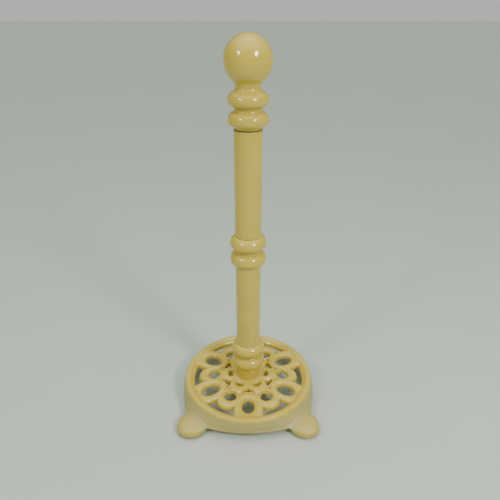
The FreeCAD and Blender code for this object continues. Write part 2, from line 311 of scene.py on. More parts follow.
def row_tree():
    """Geometry Nodes that set three copies of a mesh on a circle round the Z axis, each at its own angle."""
    tree, given = new_tree("copies_on_circle", {
        "Circle radius": "Float", **dict.fromkeys(ANGLES, "Float"), "Finish": "Material"})
    index = add(tree, "GeometryNodeInputIndex")
    angle = add(tree, "GeometryNodeIndexSwitch", {"Index": index}, data_type="FLOAT")
    angle.index_switch_items.new()
    join(tree, angle, {slot: given.outputs[name] for slot, name in enumerate(ANGLES, 1)})
    along = add(tree, "ShaderNodeMath", {0: angle}, operation="COSINE")
    across = add(tree, "ShaderNodeMath", {0: angle}, operation="SINE")
    unit = add(tree, "ShaderNodeCombineXYZ", {"X": along, "Y": across})
    place = add(tree, "ShaderNodeVectorMath", {0: unit, "Scale": given.outputs["Circle radius"]},
                operation="SCALE")
    points = add(tree, "GeometryNodePoints", {"Count": len(ANGLES), "Position": place})
    turn = add(tree, "ShaderNodeCombineXYZ", {"Z": angle})
    copies = add(tree, "GeometryNodeInstanceOnPoints", {
        "Points": points, "Instance": given, "Rotation": turn})
    whole = add(tree, "GeometryNodeRealizeInstances", {"Geometry": copies})
    finished = add(tree, "GeometryNodeSetMaterial", {"Geometry": whole, "Material": given.outputs["Finish"]})
    add(tree, "NodeGroupOutput", {"Geometry": finished})
    return tree


def run_tree(tree, mesh, inputs, name):
    """Runs a Geometry Nodes tree over a mesh and gives its result as a plain mesh."""
    carrier = new_object(name + "_carrier", mesh)
    modifier = carrier.modifiers.new("nodes", "NODES")
    modifier.node_group = tree
    for socket in tree.interface.items_tree:
        if socket.item_type == "SOCKET" and socket.in_out == "INPUT" and socket.name in inputs:
            modifier[socket.identifier] = inputs[socket.name]
    evaluated = carrier.evaluated_get(bpy.context.evaluated_depsgraph_get())
    result = bpy.data.meshes.new_from_object(evaluated)
    bpy.data.objects.remove(carrier)
    result.name = name
    return result


def drawn_outline(steps, spacing):
    """Evenly spaced points (radius, z) along a closed outline of steps.

    A step of two numbers is the end of a straight line, and one of four is an arc's middle and end.
    """
    points = []
    here = np.array(steps[0][-2:])
    for step in steps[1:] + [steps[0]]:
        end = np.array(step[-2:])
        if len(step) == 4:
            path = arc_through(here, np.array(step[:2]), end, spacing)
        else:
            count = max(1, round(np.linalg.norm(end - here) / spacing))
            path = here + (end - here) * (np.arange(count) / count)[:, None]
        points.append(path)
        here = end
    return np.vstack(points)


def arc_through(start, middle, end, spacing):
    """Points on the circle through three points, from the start up to just before the end."""
    a, b = middle - start, end - start
    cross = a[0] * b[1] - a[1] * b[0]
    from_start = np.array([b[1] * (a @ a) - a[1] * (b @ b), a[0] * (b @ b) - b[0] * (a @ a)]) / (2 * cross)
    centre = start + from_start
    radius = np.linalg.norm(start - centre)
    angles = [math.atan2(*(p - centre)[::-1]) for p in (start, middle, end)]
    turn = 1.0 if cross > 0 else -1.0
    sweep = (angles[2] - angles[0]) * turn % math.tau
    count = max(2, round(radius * sweep / spacing))
    along = angles[0] + turn * sweep * np.arange(count) / count
    return centre + radius * np.column_stack([np.cos(along), np.sin(along)])


def softened(points, spacing, reach):
    """A closed outline with its corners rounded as a fired glaze rounds them."""
    count = int(math.ceil(3 * reach / spacing))
    offsets = np.arange(-count, count + 1)
    weights = np.exp(-0.5 * (offsets * spacing / reach) ** 2)
    weights /= weights.sum()
    return sum(w * np.roll(points, int(k), axis=0) for w, k in zip(weights, offsets))


def thinned(points, tolerance, longest):
    """Indices of the points that a closed outline needs to stay within a tolerance of its shape."""
    keep, start = [0], 0
    for end in range(2, len(points) + 1):
        a, b = points[start], points[end % len(points)]
        span = b - a
        length = np.linalg.norm(span)
        inner = points[start + 1:end] - a
        away = np.abs(inner[:, 0] * span[1] - inner[:, 1] * span[0]) / max(length, 1e-9)
        if away.max() > tolerance or length > longest:
            keep.append(end - 1)
            start = end - 1
    return keep


def hollowness(points, spacing):
    """How deep each outline point lies in a crease, 0 to 1."""
    wide = softened(points, spacing, CREASE_REACH)
    ahead = np.roll(points, -1, axis=0) - np.roll(points, 1, axis=0)
    outward = np.column_stack([ahead[:, 1], -ahead[:, 0]])
    outward /= np.linalg.norm(outward, axis=1)[:, None] + 1e-12
    area = np.sum(points[:, 0] * np.roll(points[:, 1], -1) - np.roll(points[:, 0], -1) * points[:, 1])
    lift = np.sum((wide - points) * outward, axis=1) * (1 if area > 0 else -1)
    return np.clip(lift / CREASE_DEPTH, 0, 1)


def turned_mesh(name, steps, settings, material):
    """A piece turned from its outline, its edges rounded, as one closed mesh."""
    spacing = settings.outline_spacing
    raw = drawn_outline(steps, spacing)
    soft = softened(raw, spacing, settings.glaze_rounding)
    soft[:, 0] = np.maximum(soft[:, 0], 0.0)
    kept = thinned(soft, settings.outline_tolerance, settings.longest_step)
    outline = soft[kept]
    hollow = hollowness(soft, spacing)[kept]
    source = bpy.data.meshes.new(name + "_outline")
    source.from_pydata([(r, 0.0, z) for r, z in outline], [], [])
    mesh = run_tree(TREES["turn"], source, {
        "Outline points": len(outline),
        "Steps around": settings.steps_around,
        "Merge distance": LATHE_MERGE,
        "Finish": material,
    }, name)
    finish_normals(mesh)
    places = vertex_places(mesh)
    radii = np.hypot(places[:, 0], places[:, 1])
    nearest = np.array([np.argmin((outline[:, 0] - r) ** 2 + (outline[:, 1] - z) ** 2)
                        for r, z in zip(radii, places[:, 2])])
    # deeper colour in the creases: glaze pooled there and painted shade
    store_attribute(mesh, "hollow", settings.pooling_and_shade * hollow[nearest])
    return mesh


def finish_normals(mesh):
    """Merges doubles and turns every face outwards."""
    shape = bmesh.new()
    shape.from_mesh(mesh)
    bmesh.ops.remove_doubles(shape, verts=shape.verts, dist=DOUBLES)
    bmesh.ops.dissolve_degenerate(shape, edges=shape.edges, dist=THINNEST)
    bmesh.ops.recalc_face_normals(shape, faces=shape.faces)
    shape.to_mesh(mesh)
    shape.free()
    mesh.shade_smooth()


def vertex_places(mesh):
    """Vertex coordinates as an array."""
    flat = np.empty(len(mesh.vertices) * 3)
    mesh.vertices.foreach_get("co", flat)
    return flat.reshape(-1, 3)


def store_attribute(mesh, name, values):
    """Writes one number per vertex."""
    attribute = mesh.attributes.new(name, "FLOAT", "POINT")
    attribute.data.foreach_set("value", np.asarray(values, dtype=np.float32))


# --- base casting: solids blended into one another --------
def smooth_max(a, b, reach):
    """The larger of two fields, rounded over a reach where they cross."""
    overlap = np.maximum(reach - np.abs(a - b), 0.0) / reach
    return np.maximum(a, b) + overlap * overlap * reach / 4


def smooth_min(a, b, reach):
    """The smaller of two fields, rounded over a reach where they cross."""
    return -smooth_max(-a, -b, reach)


def ellipse_field(along, across, centre, half_length, half_width):
    """About the signed distance from an ellipse whose middle lies on the sector's middle line."""
    u = (along - centre) / half_length
    w = across / half_width
    ratio = np.hypot(u, w) + 1e-9
    slope = np.hypot(u / half_length, w / half_width) + 1e-9
    return ratio * (ratio - 1) / slope


def wedge_field(along, across, point, half_angle):
    """Signed distance from an outward-opening wedge with its point on the sector's middle line."""
    return np.abs(across) * math.cos(half_angle) - (along - point) * math.sin(half_angle)


def sector(radius, angle, first_angle, count):
    """Distances along and across the middle line of the nearest of some evenly spaced sectors."""
    step = math.tau / count
    turn = (angle - first_angle + step / 2) % step - step / 2
    return radius * np.cos(turn), radius * np.sin(turn)


FRONT = -math.pi / 2
PETALS = 6
FEET = (-0.75 * math.pi, -0.25 * math.pi, 0.5 * math.pi)

# openings and petals: how far out an ellipse's middle lies, its half length outwards and its half width
OVAL = (45.3 * MM, 9.5 * MM, 6.8 * MM)
LARGE_PETAL = (44.5 * MM, 16.5 * MM, 14.8 * MM)
KITE = (36.3 * MM, 6.2 * MM, 6.5 * MM)
SMALL_PETAL = (41.0 * MM, 12.2 * MM, 12.0 * MM)
LOBE = (24.5 * MM, 7.6 * MM, 7.4 * MM)
SCALE = (19.5 * MM, 10.2 * MM, 10.8 * MM)
COLLAR = (9.5 * MM, 8.2 * MM, 9.0 * MM)
# wedges: how far out the point lies, and half the angle
KITE_WEDGE = (28.8 * MM, math.radians(46))
THREE_CORNER_WEDGE = (21.8 * MM, math.radians(50))
THREE_CORNER_R = 27.4 * MM
SLIT_R, SLIT_HALF_WIDTH, SLIT_HALF_LENGTH = 19.0 * MM, 1.9 * MM, 4.2 * MM
FRONT_SPREAD = 0.4           # radians either side of the front in which the oval is smaller
FRONT_SHRINK = 0.8 * MM
ROOT_R, ROOT_HALF_WIDTH, ROOT_TAPER = 44 * MM, 14.1 * MM, 0.06
HUB_R = 36 * MM

# the crests' height, which rises a little towards the post
DOME_R = (16 * MM, 34 * MM, 60 * MM)
DOME_Z = (23.0 * MM, 22.2 * MM, 21.2 * MM)
ROLL_OVER = 0.98             # just under 1, so that a petal's edge never stands quite upright
OUTSIDE_SLOPE = 3.0          # how steeply a petal's height falls outside its outline
FLOOR_DROP = 2.6 * MM        # how far the hub's ground lies below the crests

RIM_TOP = 22.0 * MM
RIM_OUTER = 67.1 * MM
RIM_INNER = 58.0 * MM
RIM_FLAT_INNER = 61.8 * MM
RIM_INNER_TOP = 19.4 * MM
RIM_DEPTH = 7.5 * MM
SHOULDER = 2 * MM            # depth below the rim's top at which the side is as wide as RIM_OUTER
SKIRT_BOTTOM = 8.5 * MM
SKIRT_FLARE = 3.5 * MM
SKIRT_WALL = 4.0 * MM
FOOT_FLARE, FLARE_SPREAD = 9.0 * MM, 27 * MM
FLARE_CURVE, FLARE_LIMIT = 1.4, 1.3

TOE_MIDDLE, TOE_LEAN = 78.2 * MM, 0.1
TOE_HALF_LENGTH, TOE_HALF_WIDTH, TOE_RISE = 16.5 * MM, 14.7 * MM, 7.5 * MM
TOE_BELLY, TOE_BOTTOM = 5.0 * MM, 1.0 * MM
TOE_SQUARENESS = 2.4         # 2 would make the toe an ellipsoid
TOE_SPAN = 11 * MM           # turns the toe's ratio into about a distance

PLATE, PLATE_OVERLAP = 5.5 * MM, 3 * MM
WALL_DRAFT, OPENING_DRAFT = 0.08, 0.10
BOSS_R, BOSS_BOTTOM = 15.4 * MM, 13.0 * MM
PAD_ROOM, PAD_HEADROOM, BORE_ROOM = 0.15 * MM, 0.05 * MM, 0.5 * MM
SOCKET_R, SOCKET_DEPTH = 8.6 * MM, 5.5 * MM


def petal_height(outline, hole, crest, fall_in, fall_out, crest_at):
    """Height of a petal that rises from its opening to a crest and rolls over at its outline."""
    inside = np.maximum(-outline, 0.0)
    from_hole = np.maximum(hole, 0.0)
    across = from_hole / (from_hole + inside + 1e-9)
    inward = np.clip((crest_at - across) / crest_at, 0, 1)
    outward = np.clip((across - crest_at) / (1 - crest_at), 0, 1)
    height = crest - fall_in * inward ** 2 - fall_out * (1 - np.sqrt(1 - ROLL_OVER * outward ** 2))
    return height - OUTSIDE_SLOPE * np.maximum(outline, 0.0)


def casting_plan(x, y):
    """Top height, the outline of the iron seen from above and the openings, at points of the plan."""
    radius, angle = np.hypot(x, y), np.arctan2(y, x)
    u, w = sector(radius, angle, FRONT, PETALS)
    v, t = sector(radius, angle, FRONT + math.pi / PETALS, PETALS)
    crest = np.interp(radius, DOME_R, DOME_Z)

    near_front = np.exp(-((angle - FRONT) / FRONT_SPREAD) ** 4)
    oval = ellipse_field(u, w, *OVAL) + FRONT_SHRINK * near_front
    flank = np.abs(w) - ROOT_HALF_WIDTH - ROOT_TAPER * (u - ROOT_R)
    large = smooth_min(ellipse_field(u, w, *LARGE_PETAL), np.maximum(flank, ROOT_R - u), 3 * MM)

    kite = smooth_max(ellipse_field(v, t, *KITE), wedge_field(v, t, *KITE_WEDGE), 1.5 * MM)
    small = ellipse_field(v, t, *SMALL_PETAL)

    slit = smooth_max(np.abs(radius - SLIT_R) - SLIT_HALF_WIDTH, np.abs(t) - SLIT_HALF_LENGTH, 2 * MM)
    lobe = ellipse_field(v, t, *LOBE)

    corner = wedge_field(u, w, *THREE_CORNER_WEDGE)
    three_corner = smooth_max(radius - THREE_CORNER_R, corner, 1.5 * MM)
    scale = ellipse_field(u, w, *SCALE)

    collar = ellipse_field(v, t, *COLLAR)

    high = petal_height(large, oval, crest + 0.2 * MM, fall_in=2.2 * MM, fall_out=2.6 * MM, crest_at=0.55)
    rows = (
        petal_height(small, kite, crest, fall_in=1.8 * MM, fall_out=2.8 * MM, crest_at=0.5),
        petal_height(lobe, slit, crest + 0.2 * MM, fall_in=1.2 * MM, fall_out=2.4 * MM, crest_at=0.45),
        petal_height(scale, three_corner, crest + 0.1 * MM,
                     fall_in=1.2 * MM, fall_out=2.4 * MM, crest_at=0.5),
        petal_height(collar, radius - 8 * MM, crest, fall_in=0.0, fall_out=2.0 * MM, crest_at=0.5),
        crest - FLOOR_DROP,
    )
    for row in rows:
        high = smooth_max(high, row, 0.5 * MM)

    outline = smooth_min(smooth_min(large, small, 1.0 * MM), radius - HUB_R, 1.0 * MM)
    openings = np.minimum(np.minimum(oval, kite), np.minimum(slit, three_corner))
    return radius, angle, high, outline, openings


def rim_field(radius, angle, z):
    """The rim, its sloping inner edge and the skirt below it, which flares out most at the feet."""
    flare = math.atan2(SKIRT_FLARE, RIM_TOP - SKIRT_BOTTOM)
    u, w = foot_frame(radius, angle)
    near_foot = np.exp(-(w / FLARE_SPREAD) ** 2) * (u > 0)
    shoulder = RIM_TOP - SHOULDER
    fall = np.clip((shoulder - z) / (shoulder - SKIRT_BOTTOM), 0, FLARE_LIMIT)
    wide = radius - FOOT_FLARE * near_foot * fall ** FLARE_CURVE
    below = z - RIM_TOP + SHOULDER
    outer = (wide - RIM_OUTER) * math.cos(flare) + below * math.sin(flare)
    bevel = math.atan2(RIM_TOP - RIM_INNER_TOP, RIM_FLAT_INNER - RIM_INNER)
    slope = (z - RIM_TOP) * math.cos(bevel) - (radius - RIM_FLAT_INNER) * math.sin(bevel)
    top = smooth_max(z - RIM_TOP, slope, 2.5 * MM)
    top = smooth_max(top, RIM_INNER - radius, 2.0 * MM)
    shell = smooth_max(top, outer, 1.4 * MM)
    ring = smooth_max(shell, RIM_TOP - RIM_DEPTH - z, 2.0 * MM)
    skirt = smooth_max(shell, -outer - SKIRT_WALL, 1.0 * MM)
    skirt = smooth_max(skirt, SKIRT_BOTTOM - z, 1.8 * MM)
    return smooth_min(ring, skirt, 3.0 * MM)


def foot_frame(radius, angle):
    """Distances along and across the direction of the nearest foot."""
    turns = [(angle - foot + math.pi) % math.tau - math.pi for foot in FEET]
    turn = turns[0]
    for other in turns[1:]:
        turn = np.where(np.abs(other) < np.abs(turn), other, turn)
    return radius * np.cos(turn), radius * np.sin(turn)


def foot_field(radius, angle, z):
    """A low rounded toe that stands out from under the flared skirt."""
    u, w = foot_frame(radius, angle)
    rise = np.maximum(z - TOE_BELLY, 0.0)
    out = (u - TOE_MIDDLE + TOE_LEAN * rise) / TOE_HALF_LENGTH
    across = np.hypot(out, w / TOE_HALF_WIDTH)
    power = TOE_SQUARENESS
    toe = ((across ** power + (rise / TOE_RISE) ** power) ** (1 / power) - 1) * TOE_SPAN
    return smooth_max(toe, TOE_BOTTOM - z, 4.0 * MM)


def casting_field(x, y, z, plan=None):
    """The casting, negative inside the iron: plate, boss, rim, skirt and feet, less bores and recesses."""
    radius, angle, high, outline, openings = plan or casting_plan(x, y)
    depth = high - z
    bottom = np.interp(radius, DOME_R, DOME_Z) - PLATE
    pierced = -(openings + OPENING_DRAFT * depth)
    walls = smooth_max(outline - WALL_DRAFT * depth, pierced, 1.2 * MM)
    plate = smooth_max(smooth_max(-depth, walls, 2.0 * MM), bottom - z, 1.0 * MM)
    plate = smooth_max(plate, radius - RIM_INNER - PLATE_OVERLAP, 1.0 * MM)
    boss = smooth_max(radius - BOSS_R, z - SEAT_Z, 1.4 * MM)
    boss = smooth_max(boss, BOSS_BOTTOM - z, 1.4 * MM)
    iron = smooth_min(plate, boss, 0.8 * MM)
    iron = smooth_min(iron, rim_field(radius, angle, z), 1.6 * MM)
    iron = smooth_min(iron, foot_field(radius, angle, z), 3.5 * MM)
    u, w = foot_frame(radius, angle)
    recess = np.maximum(np.hypot(u - FOOT_CIRCLE_R, w) - PAD_R - PAD_ROOM, z - PAD_HIGH[2] - PAD_HEADROOM)
    bore = radius - ROD_R - BORE_ROOM
    socket = np.maximum(radius - SOCKET_R, SEAT_Z - SOCKET_DEPTH - z)
    return np.maximum(iron, -np.minimum(np.minimum(recess, bore), socket))


def casting_surface(low, high, cell):
    """Vertices and quads of the casting's surface, one vertex in each cell that the surface crosses."""
    axes = [np.arange(a - 2 * cell, b + 3 * cell, cell) for a, b in zip(low, high)]
    flat_x, flat_y = np.meshgrid(axes[0], axes[1], indexing="ij")
    plan = casting_plan(flat_x, flat_y)
    field = np.stack([casting_field(flat_x, flat_y, z, plan) for z in axes[2]], axis=2)
    inside = field < 0
    size = np.array(field.shape)
    total = np.zeros((*(size - 1), 3))
    hits = np.zeros(size - 1)
    crossings = []
    for axis in range(3):
        near = tuple(slice(None, -1) if k == axis else slice(None) for k in range(3))
        far = tuple(slice(1, None) if k == axis else slice(None) for k in range(3))
        crossed = inside[near] != inside[far]
        along = np.where(crossed, field[near] / np.where(crossed, field[near] - field[far], 1.0), 0.0)
        others = [k for k in range(3) if k != axis]
        for i in (0, 1):
            for j in (0, 1):
                part = [slice(None)] * 3
                part[others[0]] = slice(i, size[others[0]] - 1 + i)
                part[others[1]] = slice(j, size[others[1]] - 1 + j)
                hit = crossed[tuple(part)]
                hits += hit
                total[..., axis] += np.where(hit, along[tuple(part)], 0)
                total[..., others[0]] += hit * i
                total[..., others[1]] += hit * j
        crossings.append(crossed)
    used = hits > 0
    number = np.full(size - 1, -1)
    number[used] = np.arange(used.sum())
    cells = np.argwhere(used)
    start = np.array([axis[0] for axis in axes])
    vertices = start + (cells + total[used] / hits[used][:, None]) * cell
    quads = []
    for axis, crossed in enumerate(crossings):
        one, two = [(1, 2), (2, 0), (0, 1)][axis]
        at = np.argwhere(crossed)
        at = at[np.all(at > 0, axis=1)]
        step_one, step_two = np.eye(3, dtype=int)[one], np.eye(3, dtype=int)[two]
        ring = [at - step_one - step_two, at - step_two, at, at - step_one]
        faces = np.stack([number[tuple(corner.T)] for corner in ring], axis=1)
        solid_below = inside[tuple(at.T)]
        quads.append(np.where(solid_below[:, None], faces, faces[:, ::-1]))
    return vertices, np.vstack(quads)


def settle(vertices, cell, rounds):
    """Moves vertices onto the zero surface along its slope, and gives the slope's directions."""
    nudge, longest = 0.1 * MM, 0.4 * cell
    for step in range(rounds + 1):
        slope = np.stack([
            casting_field(*(vertices + offset).T) - casting_field(*(vertices - offset).T)
            for offset in np.eye(3) * nudge
        ], axis=1) / (2 * nudge)
        steepness = np.sum(slope * slope, axis=1)[:, None] + 1e-6
        if step < rounds:
            move = -casting_field(*vertices.T)[:, None] * slope / steepness
            reach = np.linalg.norm(move, axis=1)[:, None]
            vertices = vertices + move * np.minimum(1.0, longest / (reach + 1e-12))
    return vertices, slope / np.sqrt(steepness)


def mesh_from(vertices, faces, name):
    """A mesh of quads from arrays."""
    mesh = bpy.data.meshes.new(name)
    mesh.vertices.add(len(vertices))
    mesh.vertices.foreach_set("co", np.asarray(vertices, dtype=np.float32).ravel())
    mesh.loops.add(faces.size)
    mesh.loops.foreach_set("vertex_index", faces.astype(np.int32).ravel())
    mesh.polygons.add(len(faces))
    mesh.polygons.foreach_set("loop_start", np.arange(0, faces.size, 4, dtype=np.int32))
    mesh.update(calc_edges=True)
    mesh.shade_smooth()
    return mesh


# --- sizes and colours a user would change ----------------
def metres(name, text, default, low=0.0):
    """A length property in metres."""
    return bpy.props.FloatProperty(name=name, description=text, default=default, min=low, precision=5,
                                   subtype="DISTANCE", unit="LENGTH")


def tinted(name, text, hex_colour):
    """A colour property from an sRGB hex value."""
    return bpy.props.FloatVectorProperty(name=name, description=text, default=linear(hex_colour), size=3,
                                         min=0.0, max=1.0, subtype="COLOR")


def share(name, text, default):
    """A plain number from 0 to 1."""
    return bpy.props.FloatProperty(name=name, description=text, default=default, min=0.0, max=1.0,
                                   precision=4, subtype="FACTOR")


def strength(name, text, default, low=0.0):
    """A plain number with no upper limit."""
    return bpy.props.FloatProperty(name=name, description=text, default=default, min=low)


def whole_number(name, text, default, low, high):
    """A whole number between two limits."""
    return bpy.props.IntProperty(name=name, description=text, default=default, min=low, max=high)


class EnamelSettings(bpy.types.PropertyGroup):
    """The glaze on the iron."""

    glaze_colour: tinted("Glaze", "Main colour of the enamel", "#BFA52E")
    glaze_light: tinted("Light glaze", "Colour where the coat is thinner and paler", "#CDB750")
    # the pooled colour is partly glaze that gathers in hollows and partly painted shade there
    pooled_glaze_and_shade_colour: tinted("Pooled glaze and shade", "Colour where the coat gathers in hollows, with painted shade there", "#AB8420")
    # the dusty colour is partly dust on the skirt and partly painted shade on its side
    dust_and_shade_colour: tinted("Dusty, shaded glaze", "Colour of the dusty coat on the skirt, with painted shade on its side", "#A69B58")
    iron_colour: tinted("Pit", "Colour at the bottom of a pit", "#4A3C28")
    tone_spacing: metres("Tone spacing", "Size of the pale and deep clouds in the coat", 30 * MM, 0.001)
    pit_spacing: metres("Pit spacing", "Distance between places where a pit may lie", 4.5 * MM, 0.0005)
    pit_share: share("Pit share", "Share of those places that have a pit", 0.02)
    dust_spacing: metres("Grain spacing", "Size of the grain in the gloss", 1.2 * MM, 0.0002)
    roughness: share("Roughness", "Roughness of the fired coat", 0.10)
    worn_roughness: share("Worn roughness", "Roughness that dulling adds on the skirt and in pits", 0.35)
    peel_spacing: metres("Peel spacing", "Size of the orange peel", 1.6 * MM, 0.0002)
    peel_height: metres("Peel height", "Height of the orange peel", 0.026 * MM)
    wave_spacing: metres("Wave spacing", "Size of the slow waves in the coat", 7 * MM, 0.001)
    wave_height: metres("Wave height", "Height of the slow waves", 0.12 * MM)


class CastingSettings(bpy.types.PropertyGroup):
    """The mesh of the base casting."""

    cell: metres("Cell", "Edge of the cells that the casting is meshed with", 0.85 * MM, 0.0005)
    settling: whole_number("Settling", "Rounds that draw the mesh to the surface", 4, 0, 12)
    hollow_reach: metres("Hollow reach", "How far above the surface a hollow is felt", 2.2 * MM, 0.0005)


class PostSettings(bpy.types.PropertyGroup):
    """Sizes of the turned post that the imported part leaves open, and the detail of its meshes."""

    bead_height: metres("Bead height", "Height of a collar's bead", 12.3 * MM)
    bead_gap: metres("Bead gap", "Height of the waist between two beads", 3.9 * MM)
    gap_depth: metres("Waist depth", "How far the waist lies inside the tube's radius", 0.6 * MM)
    tube_wall: metres("Tube wall", "Wall of the tubes", 3.5 * MM)
    spool_step: metres("Spool step", "How far the spool under the beads stands out", 0.2 * MM)
    # the pooled colour in the post's waists is partly painted shade
    pooling_and_shade: share("Pooling and shade", "How much of the pooled glaze and painted shade shows in the post's waists", 0.25)
    outline_spacing: metres("Outline spacing", "Distance between an outline's points before thinning",
                            0.1 * MM, 0.00005)
    glaze_rounding: metres("Glaze rounding", "How widely the coat rounds a corner", 0.45 * MM)
    outline_tolerance: metres("Outline tolerance", "How far a thinned outline may leave its shape",
                              0.004 * MM)
    longest_step: metres("Longest step", "Longest straight step of an outline", 3.0 * MM)
    steps_around: whole_number("Steps around", "Faces round the axis", 160, 24, 360)


class StageSettings(bpy.types.PropertyGroup):
    """The floor, the lamps and the light tent."""

    floor_size: metres("Floor size", "Edge of the floor", 60.0)
    lamp_size: metres("Lamp size", "Longer edge of a soft lamp whose own scale is 1", 0.17)
    lamp_distance: metres("Lamp distance", "Distance of each lamp from the ball", 0.9)
    left_power: strength("Left lamp", "Power of the left lamp in watts", 2.8)
    right_power: strength("Right lamp", "Power of the right lamp in watts", 6.6)
    tent_strength: strength("Tent", "Brightness of the light tent overhead", 2.65)
    tent_gather: strength("Tent gather", "How closely the tent's light gathers overhead", 4.0, 0.5)
    horizon_strength: strength("Horizon", "Brightness of the tent's lower edge", 0.22)
    backdrop_strength: strength("Backdrop", "Brightness of the backdrop in view", 0.60)
    tent_colour: tinted("Tent colour", "Colour of the light tent", "#F4F8F3")


SETTINGS = {
    "towel_enamel": EnamelSettings,
    "towel_casting": CastingSettings,
    "towel_post": PostSettings,
    "towel_stage": StageSettings,
}


# --- pieces -----------------------------------------------
def enamel(context):
    """The enamel material."""
    return material_of(porcelain_enamel, context.scene.towel_enamel)


def turned_piece(context, name, body, steps):
    """A turned, enamelled piece that stands for the CAD node of the same name."""
    material = enamel(context)
    mesh = turned_mesh(name + "_looks", steps, context.scene.towel_post, material)
    piece(name + "_looks", mesh, material, body, "enamel_iron", name)


def bead(low, height):
    """Outline steps up one bead, which swells quickly from below and slopes back more gently on top."""
    proud = BEAD_R - TUBE_R
    widest = low + 0.44 * height
    return [
        (TUBE_R + 0.80 * proud, low + 0.16 * height, BEAD_R, widest),
        (TUBE_R + 0.72 * proud, low + 0.80 * height, TUBE_R, low + height),
    ]


def double_bead(post, low, lower_height, upper_height):
    """Outline steps up two beads with a narrow waist between them."""
    middle = low + lower_height
    upper = middle + post.bead_gap
    return [
        *bead(low, lower_height),
        (TUBE_R - post.gap_depth, middle + post.bead_gap / 2, TUBE_R, upper),
        *bead(upper, upper_height),
    ]


# where the coat of the base is dull and dusty, with painted shade on the skirt's side: outside a radius,
# below a height, and less on the toes, whose tops face the light
SKIRT_SIDE_FROM_R, SKIRT_SIDE_FADE_OUT = 66.2 * MM, 1.2 * MM
SKIRT_SIDE_BELOW_Z, SKIRT_SIDE_FADE_DOWN = 20.6 * MM, 1.5 * MM
TOE_FROM_R, TOE_FADE, TOE_LESS_DUST_AND_SHADE = 76 * MM, 5 * MM, 0.55
# the hollow measure places the pooled colour, which is partly painted shade in the hollows
FULL_HOLLOW = 0.9            # the coat is fully pooled where other iron is nearer by this share of the reach


class TOWEL_OT_base_casting(bpy.types.Operator):
    """Casts the pierced base: petals, rim, skirt, boss and feet in one iron"""

    bl_idname = "towel.base_casting"
    bl_label = "Base casting"

    def execute(self, context):
        settings = context.scene.towel_casting
        vertices, faces = casting_surface(BASE_LOW, BASE_HIGH, settings.cell)
        vertices, outward = settle(vertices, settings.cell, settings.settling)
        reach = settings.hollow_reach
        above = casting_field(*(vertices + outward * reach).T)
        # how deep a point lies in a hollow, for the pooled glaze colour and its painted shade
        hollow = np.clip((reach - above) / (FULL_HOLLOW * reach), 0.0, 1.0)
        mesh = mesh_from(vertices, faces, "base_casting_looks")
        store_attribute(mesh, "hollow", hollow)
        out = np.hypot(vertices[:, 0], vertices[:, 1])
        beyond_rim = np.clip((out - SKIRT_SIDE_FROM_R) / SKIRT_SIDE_FADE_OUT, 0, 1)
        below_rim = np.clip((SKIRT_SIDE_BELOW_Z - vertices[:, 2]) / SKIRT_SIDE_FADE_DOWN, 0, 1)
        on_toe = np.clip((out - TOE_FROM_R) / TOE_FADE, 0, 1)
        side = beyond_rim * below_rim
        store_attribute(mesh, "dull", side)
        # the dusty colour with painted shade on the skirt's side, with less of it on the toes, whose tops
        # face the light
        store_attribute(mesh, "wear", side * (1 - TOE_LESS_DUST_AND_SHADE * on_toe))
        piece("base_casting_looks", mesh, enamel(context), "stand", "enamel_iron", "base_casting")
        return {"FINISHED"}


class TOWEL_OT_collars(bpy.types.Operator):
    """Turns the spool and double bead on the base, and the double bead between the tubes"""

    bl_idname = "towel.collars"
    bl_label = "Collars"

    def execute(self, context):
        post = context.scene.towel_post
        spigot = TUBE_R - post.tube_wall - 0.1 * MM
        bore = ROD_R + 0.4 * MM
        spool = TUBE_R + post.spool_step
        top = LOWER_TUBE_LOW[2]
        beads = top - 2 * post.bead_height - post.bead_gap
        turned_piece(context, "base_collar", "stand", [
            (bore, COLLAR_LOW[2]),
            (spigot, COLLAR_LOW[2]),
            (spigot, SEAT_Z),
            (spool, SEAT_Z),
            (spool, beads - post.spool_step),
            (TUBE_R, beads),
            *double_bead(post, beads, post.bead_height, post.bead_height),
            (spigot, top),
            (spigot, COLLAR_HIGH[2]),
            (bore, COLLAR_HIGH[2]),
        ])
        low, high = LOWER_TUBE_HIGH[2], UPPER_TUBE_LOW[2]
        turned_piece(context, "middle_collar", "stand", [
            (bore, MIDDLE_LOW[2]),
            (spigot, MIDDLE_LOW[2]),
            (spigot, low),
            (TUBE_R, low),
            *double_bead(post, low, post.bead_height, post.bead_height),
            (spigot, high),
            (spigot, MIDDLE_HIGH[2]),
            (bore, MIDDLE_HIGH[2]),
        ])
        return {"FINISHED"}


class TOWEL_OT_tubes(bpy.types.Operator):
    """Turns the two straight lengths of the post"""

    bl_idname = "towel.tubes"
    bl_label = "Tubes"

    def execute(self, context):
        bore = TUBE_R - context.scene.towel_post.tube_wall
        for name, low, high in (("lower_tube", LOWER_TUBE_LOW[2], LOWER_TUBE_HIGH[2]),
                                ("upper_tube", UPPER_TUBE_LOW[2], UPPER_TUBE_HIGH[2])):
            turned_piece(context, name, "stand", [(bore, low), (TUBE_R, low), (TUBE_R, high), (bore, high)])
        return {"FINISHED"}


